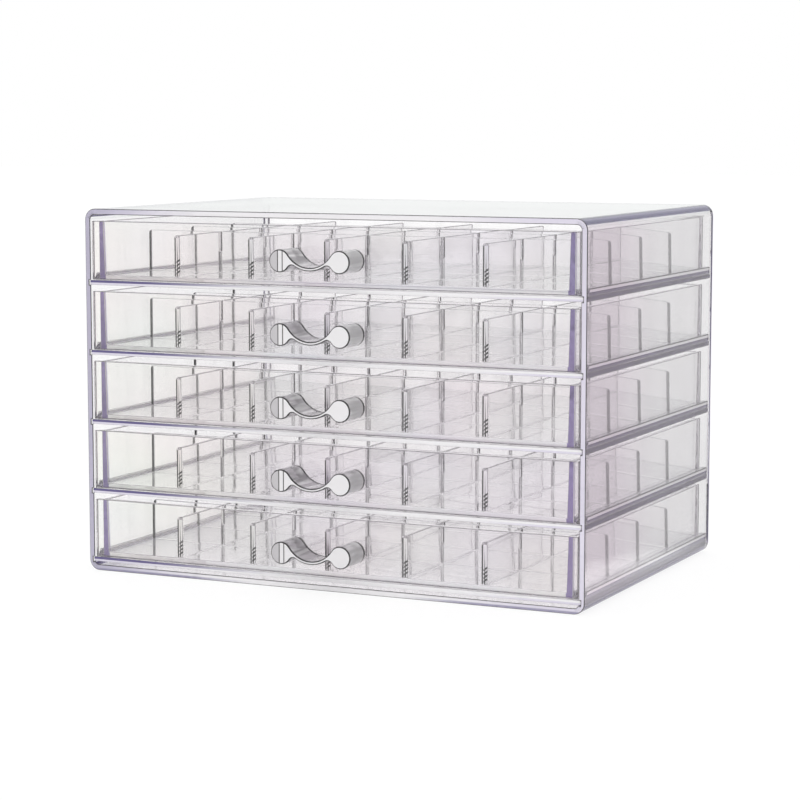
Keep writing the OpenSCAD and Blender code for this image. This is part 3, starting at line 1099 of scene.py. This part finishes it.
class JEWEL_OT_dividers(bpy.types.Operator):
    """Models the crossed dividers of one drawer and copies them to every drawer"""

    bl_idname = "jewel.dividers"
    bl_label = "Dividers"

    def execute(self, context):
        finishes = (clear_plastic("clear_divider", divider_painted_shade), edge_plastic("divider_edge"),
                    line_plastic("divider_line"), pale_plastic("divider_end"))
        cross_nodes = sorted(n for n in BODIES[FIRST] if "cross_divider" in n)
        long_low, long_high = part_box(f"{FIRST}_long_dividers")
        cross_boxes = [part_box(n) for n in cross_nodes]
        thick = cross_boxes[0][1].y - cross_boxes[0][0].y
        columns = self.columns(long_low.x + thick / 2, long_high.x - thick / 2)
        self.long_plates(long_low, long_high, columns, thick, cross_boxes, finishes)
        self.cross_plates(cross_nodes, cross_boxes, columns, thick, finishes)
        return {"FINISHED"}

    def columns(self, first, last):
        """Places of the long dividers: one more than the whole cells between the outer two."""
        wall_low, wall_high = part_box(f"{FIRST}_cross_divider_1")
        count = round((wall_high.x - wall_low.x) / (first - wall_low.x)) - 1
        return [first + (last - first) * i / (count - 1) for i in range(count)]

    def plate(self, name, low, high, run):
        """A standing plate with two rounded upper corners, which runs across or along the depth."""
        size = sizes()
        lift = Vector((0, 0, size.seam))
        piece = add_block(name, Vector(low) + lift, high)
        ends = (low[run], high[run])
        pick_edges(piece, lambda a, b: all(
            near(v.z, high[2]) and (near(v[run], ends[0]) or near(v[run], ends[1])) for v in (a, b)
        ) and near(a[run], b[run]))
        bevel_picked(size.divider_corner_r, steps=6)
        return piece

    def long_plates(self, low, high, columns, thick, cross_boxes, finishes):
        """The plates from front to back, each with lap slots from above."""
        size = sizes()
        half = thick / 2
        x = columns[0]
        first = self.plate("long_plate", (x - half, low.y, low.z), (x + half, high.y, high.z), DEPTH_RUN)
        self.flare_front(first, x, low)
        lap_z = (low.z + high.z) / 2 - size.lap_gap
        cutters = []
        for box_low, box_high in cross_boxes:
            cut_low = (x - thick, box_low.y - size.lap_gap, lap_z)
            cut_high = (x + thick, box_high.y + size.lap_gap, high.z + thick)
            cutters.append(add_block("lap", cut_low, cut_high))
        cut_away(first, cutters)
        slot_backs = [box_high.y + size.lap_gap for box_low, box_high in cross_boxes]
        for y in slot_backs:
            self.split_side(first, y, low)
        dress(first, *finishes)
        soften(first, size.divider_soft)
        self.cut_ticks(first, x, low, thick)
        # Painted dark shade: lines up and behind the lap slots, and strips on the front end and its ticks
        self.line_ends(first, low, slot_backs, DEPTH_RUN)
        refinish(first, LINE_SLOT, lambda centre, normal: normal.x > FACING and any(
            0.0 < centre.y - y < size.lap_line for y in slot_backs))
        refinish(first, PALE_SLOT, front_faces(low.y))
        refinish(first, LINE_SLOT, lambda centre, normal: self.on_front_line(centre, normal, low)
                 or self.on_dark_strip(centre, normal, x, low))
        smooth(first)
        plates = [first]
        for other_x in columns[1:]:
            plates.append(copy_to(first, "long_plate", Vector((other_x - x, 0, 0))))
        deselect_all()
        for plate in plates:
            plate.select_set(True)
        bpy.context.view_layer.objects.active = first
        bpy.ops.object.join()
        first.name = f"{FIRST}_long_plates"
        first.data.name = first.name
        install_in_drawers(first, "long_dividers", "long_plates")

    def flare_front(self, plate, x, low):
        """Widens the plate towards its front end and splits that end's face into upright strips."""
        size = sizes()
        flare_y = low.y + size.flare_length
        split(plate, (0.0, flare_y, 0.0), ALONG_Y)
        for vertex in plate.data.vertices:
            share = max(0.0, (flare_y - vertex.co.y) / size.flare_length)
            vertex.co.x += share * size.flare_widening * math.copysign(1.0, vertex.co.x - x)
        core_x = x + size.core_shift
        cuts = ((x - size.strip_outer, -1, 0.0), (core_x - size.core_half, -1, size.core_lean),
                (core_x + size.core_half, 1, size.core_lean))
        for place, side, lean in cuts:
            split(plate, (place, low.y, low.z), (side, 0.0, lean), front_faces(low.y))

    def split_side(self, plate, y, low):
        """Splits a tapered upright strip off the plate's right face, just behind a lap slot."""
        size = sizes()
        for place, lean in ((y, 0.0), (y + size.lap_line, size.lap_lean)):
            split(plate, (0.0, place, low.z), (0.0, 1.0, lean), lambda centre, normal: normal.x > FACING)

    def on_dark_strip(self, centre, normal, x, low):
        """True on the outer strip and the tapered core of a long divider's front end, which get painted dark
        shade.
        """
        size = sizes()
        if not front_faces(low.y)(centre, normal):
            return False
        aside = centre.x - x
        core_half = size.core_half - size.core_lean * (centre.z - low.z)
        return aside < -size.strip_outer or abs(aside - size.core_shift) < core_half

    def line_ends(self, plate, low, slots, run):
        """A painted dark line of shade up the far side of each lap slot, and no line along the foot."""
        size = sizes()
        strip = size.divider_soft + size.seam
        foot = low.z + size.seam + size.divider_soft
        refinish(plate, BODY_SLOT, lambda centre, normal: abs(normal.z) < STEEP and any(
            abs(centre[run] - place) < SLOT_STRIPS * strip for place in slots))
        refinish(plate, LINE_SLOT, lambda centre, normal: abs(normal.z) < STEEP
                 and (SLANTED < normal.x < EDGE_ON if run == DEPTH_RUN else abs(normal.x) > EDGE_ON)
                 and any(-size.seam < centre[run] - place < strip for place in slots))
        refinish(plate, BODY_SLOT, lambda centre, normal: centre.z < foot)

    def on_front_line(self, centre, normal, low):
        """True on the rounded strips and the ticks of a long divider's front edge, which get painted dark
        shade.
        """
        size = sizes()
        if centre.z < low.z + size.seam + size.divider_soft:
            return False
        if front_faces(low.y + size.tick_depth)(centre, normal):
            return True
        if abs(normal.z) > SLOPED:
            return centre.y < low.y + size.tick_depth and centre.z < low.z + TICK_ZONE
        return centre.y < low.y + size.divider_soft and normal.y > -EDGE_ON and normal.x < 0

    def cut_ticks(self, plate, x, low, thick):
        """Slanted ticks in the lower part of the plate's front edge."""
        size = sizes()
        cutters = []
        for i in range(size.tick_count):
            base = low.z + (i + 0.5) * size.tick_pitch
            cutter = add_block("tick", (x - size.strip_outer, low.y - thick, base),
                               (x + thick, low.y + size.tick_depth, base + size.tick_height))
            pick_faces(cutter, lambda centre, normal: normal.x > FACING)
            bpy.ops.transform.translate(value=(0.0, 0.0, 2 * size.tick_rise))
            leave_edit()
            cutters.append(cutter)
        cut_away(plate, cutters)

    def cross_plates(self, cross_nodes, cross_boxes, columns, thick, finishes):
        """The plates from side to side, each with lap slots from below."""
        size = sizes()
        low, high = cross_boxes[0]
        first = self.plate("cross_plate", low, high, ACROSS_RUN)
        lap_z = (low.z + high.z) / 2 + size.lap_gap
        half = thick / 2 + size.lap_gap
        cutters = []
        for x in columns:
            cut_low = (x - half, low.y - thick, low.z - thick)
            cutters.append(add_block("lap", cut_low, (x + half, high.y + thick, lap_z)))
        cut_away(first, cutters)
        dress(first, *finishes)
        soften(first, size.divider_soft)
        # Painted dark shade up the lap slots and on the ends
        self.line_ends(first, low, [x + half for x in columns], ACROSS_RUN)
        refinish(first, LINE_SLOT, lambda centre, normal: centre.z > low.z + 2 * size.divider_soft
                 and min(centre.x - low.x, high.x - centre.x) < size.divider_soft)
        smooth(first)
        for drawer in DRAWERS:
            for node in cross_nodes:
                ending = node[len(FIRST) + 1:]
                target = f"{drawer}_{ending}"
                piece = copy_to(first, target.replace("divider", "plate"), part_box(target)[0] - low)
                install(piece, target, drawer)
        bpy.data.objects.remove(first)


# Stage

BOUNCES, SEE_THROUGH_BOUNCES = 96, 32
FLOOR_DROP, FLOOR_GREY, FLOOR_ROUGHNESS = 0.1 * MM, (0.9, 0.9, 0.9, 1.0), 0.9
GLOW, GLOW_SHARE = 1.06, 0.8
# The dim part of the floor: how fast it widens, its half width, its soft side, and the line where it starts
DIM_WIDENING, DIM_HALF, DIM_SOFT = 0.15, 0.16, 0.06
DIM_LINE, DIM_START = (1.0, 0.36, 0.0), 0.03
DIM_CONE = (math.cos(math.radians(20)), math.cos(math.radians(11)))
UNDER_SOFT = 0.01
SWEEP_RISE, WALL_RISE, CEILING_RISE = (0.12, 0.36), (0.24, 0.34), (0.80, 0.93)
SENSOR_WIDTH = 36.0


class JEWEL_OT_stage(bpy.types.Operator):
    """Builds the floor, the studio light and the camera"""

    bl_idname = "jewel.stage"
    bl_label = "Stage"

    def execute(self, context):
        self.floor()
        self.world()
        self.camera()
        scene = context.scene
        scene.view_settings.view_transform = "Standard"
        scene.cycles.max_bounces = BOUNCES
        scene.cycles.transmission_bounces = BOUNCES
        scene.cycles.glossy_bounces = BOUNCES
        scene.cycles.transparent_max_bounces = SEE_THROUGH_BOUNCES
        scene.cycles.blur_glossy = 0.0
        return {"FINISHED"}

    def floor(self):
        """A white floor that keeps the box's shadow, and that clear plastic sees dimmer in two places: a dim
        strip of the studio and a painted shadow under the box.
        """
        look = stage_look()
        deselect_all()
        bpy.ops.mesh.primitive_plane_add(size=look.floor_size, location=(0.0, 0.0, cad_low.z - FLOOR_DROP))
        floor = bpy.context.active_object
        floor.name = "studio_floor"
        bake_place(floor)
        material = bpy.data.materials.new("pale_floor")
        material.use_nodes = True
        net = Net(material.node_tree)
        matte = net.nodes["Principled BSDF"]
        matte.inputs["Base Color"].default_value = FLOOR_GREY
        matte.inputs["Roughness"].default_value = FLOOR_ROUGHNESS
        unseen = net.math("SUBTRACT", 1.0, net.node("LightPath")["Is Camera Ray"])
        dim = net.math("MULTIPLY", self.dim_floor(net), unseen)
        under = net.math("MULTIPLY", self.under_box(net), unseen)
        bright = net.mix(dim, WHITE, look.dim_colour)
        glow = net.node("Emission", strength=GLOW, color=net.mix(under, bright, look.under_box_shadow))
        blend = net.nodes.new("ShaderNodeMixShader")
        net.feed(blend.inputs["Fac"], net.math("MULTIPLY", self.seen_rays(net), GLOW_SHARE))
        net.feed(blend.inputs[1], matte.outputs["BSDF"])
        net.feed(blend.inputs[2], glow["Emission"])
        net.feed(net.nodes["Material Output"].inputs["Surface"], blend.outputs["Shader"])
        floor.data.materials.append(material)

    def dim_directions(self):
        """The camera's mirrored line of sight over the floor, and the level direction across it."""
        turn = stage_look().camera_azimuth
        return (math.sin(turn), math.cos(turn), 0.0), (math.cos(turn), -math.sin(turn), 0.0)

    def dim_floor(self, net):
        """1 on the floor along the mirrored line of sight, beyond the case's back corner."""
        along, across = self.dim_directions()
        case_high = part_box("outer_case")[1]
        place = net.place()
        aside = net.math("ABSOLUTE", net.dot(place, across))
        room = net.math("MULTIPLY_ADD", net.dot(place, along), DIM_WIDENING, DIM_HALF)
        inside = net.step(net.math("SUBTRACT", room, aside), 0.0, DIM_SOFT)
        corner = case_high.x + DIM_LINE[1] * case_high.y
        beyond = net.step(net.dot(place, DIM_LINE), corner, corner + DIM_START)
        return net.math("MULTIPLY", inside, beyond)

    def under_box(self, net):
        """1 on the floor under the case, where a painted shadow darkens what the clear plastic sees."""
        case_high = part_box("outer_case")[1]
        inside = []
        for name, reach in (("X", case_high.x), ("Y", case_high.y)):
            away = net.math("ABSOLUTE", net.axis(name))
            inside.append(net.step(away, reach + UNDER_SOFT, reach - UNDER_SOFT))
        return net.math("MULTIPLY", *inside)

    def seen_rays(self, net):
        """1 for rays that come from the camera, straight or by way of gloss and clear plastic."""
        path = net.node("LightPath")
        total = path["Is Camera Ray"]
        for kind in ("Is Glossy Ray", "Is Transmission Ray"):
            total = net.math("MAXIMUM", total, path[kind])
        return total

    def world(self):
        """White for the camera; for gloss and clear plastic a pale backdrop, dim walls and a ceiling."""
        look = stage_look()
        world = bpy.data.worlds.new("soft_studio")
        bpy.context.scene.world = world
        world.use_nodes = True
        net = Net(world.node_tree)
        direction = net.node("TexCoord")["Generated"]
        axes = net.node("SeparateXYZ", vector=direction)
        height = axes["Z"]
        along = self.dim_directions()[0]
        low = net.mix(net.step(net.dot(direction, along), *DIM_CONE), look.low_sky, look.dim_colour)
        upper = net.mix(net.step(axes["Y"], *SWEEP_RISE), look.ring_colour, look.sweep)
        walls = net.mix(net.step(height, *WALL_RISE), low, upper)
        sky = net.mix(net.step(height, *CEILING_RISE), walls, look.ceiling)
        lit = net.mix(self.seen_rays(net), (look.light_level,) * 3, sky)
        seen = net.mix(net.node("LightPath")["Is Camera Ray"], lit, WHITE)
        net.feed(net.nodes["Background"].inputs["Color"], seen)

    def camera(self):
        """The camera of the photo's view."""
        look = stage_look()
        low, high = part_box("outer_case")
        turn, dip = look.camera_azimuth, look.camera_pitch
        ahead = Vector((-math.sin(turn) * math.cos(dip), math.cos(turn) * math.cos(dip), -math.sin(dip)))
        right = Vector((math.cos(turn), math.sin(turn), 0.0))
        up = right.cross(ahead)
        aim = (low + high) / 2 + right * look.camera_aside + up * look.camera_above
        data = bpy.data.cameras.new("photo_camera")
        data.lens = look.camera_lens
        data.sensor_width = SENSOR_WIDTH
        camera = bpy.data.objects.new("photo_camera", data)
        bpy.context.scene.collection.objects.link(camera)
        camera.location = aim - ahead * look.camera_distance
        camera.rotation_mode = "QUATERNION"
        camera.rotation_quaternion = ahead.to_track_quat("-Z", "Y")
        bpy.context.scene.camera = camera


class JEWEL_PT_box(bpy.types.Panel):
    """Lists the steps that build the jewellery box"""

    bl_idname = "JEWEL_PT_box"
    bl_label = "Jewellery Box"
    bl_space_type = "VIEW_3D"
    bl_region_type = "UI"
    bl_category = "Jewellery Box"

    def draw(self, context):
        for operator in OPERATORS:
            self.layout.operator(operator.bl_idname)
        for group in (context.scene.jewel_sizes, context.scene.jewel_finish, context.scene.jewel_stage):
            column = self.layout.column()
            for name in group.__annotations__:
                column.prop(group, name)


OPERATORS = (
    JEWEL_OT_case, JEWEL_OT_shelves, JEWEL_OT_rails, JEWEL_OT_trays, JEWEL_OT_fronts,
    JEWEL_OT_handles, JEWEL_OT_dividers, JEWEL_OT_stage,
)
GROUPS = {"jewel_sizes": BoxSizes, "jewel_finish": BoxFinish, "jewel_stage": StageLook}


def register():
    for name, group in GROUPS.items():
        bpy.utils.register_class(group)
        setattr(bpy.types.Scene, name, PointerProperty(type=group))
    for operator in OPERATORS:
        bpy.utils.register_class(operator)
    bpy.utils.register_class(JEWEL_PT_box)


def unregister():
    bpy.utils.unregister_class(JEWEL_PT_box)
    for operator in reversed(OPERATORS):
        bpy.utils.unregister_class(operator)
    for name, group in GROUPS.items():
        delattr(bpy.types.Scene, name)
        bpy.utils.unregister_class(group)


def main():
    register()
    bpy.ops.jewel.case()
    bpy.ops.jewel.shelves()
    bpy.ops.jewel.rails()
    bpy.ops.jewel.trays()
    bpy.ops.jewel.fronts()
    bpy.ops.jewel.handles()
    bpy.ops.jewel.dividers()
    bpy.ops.jewel.stage()


if __name__ == "__main__":
    main()
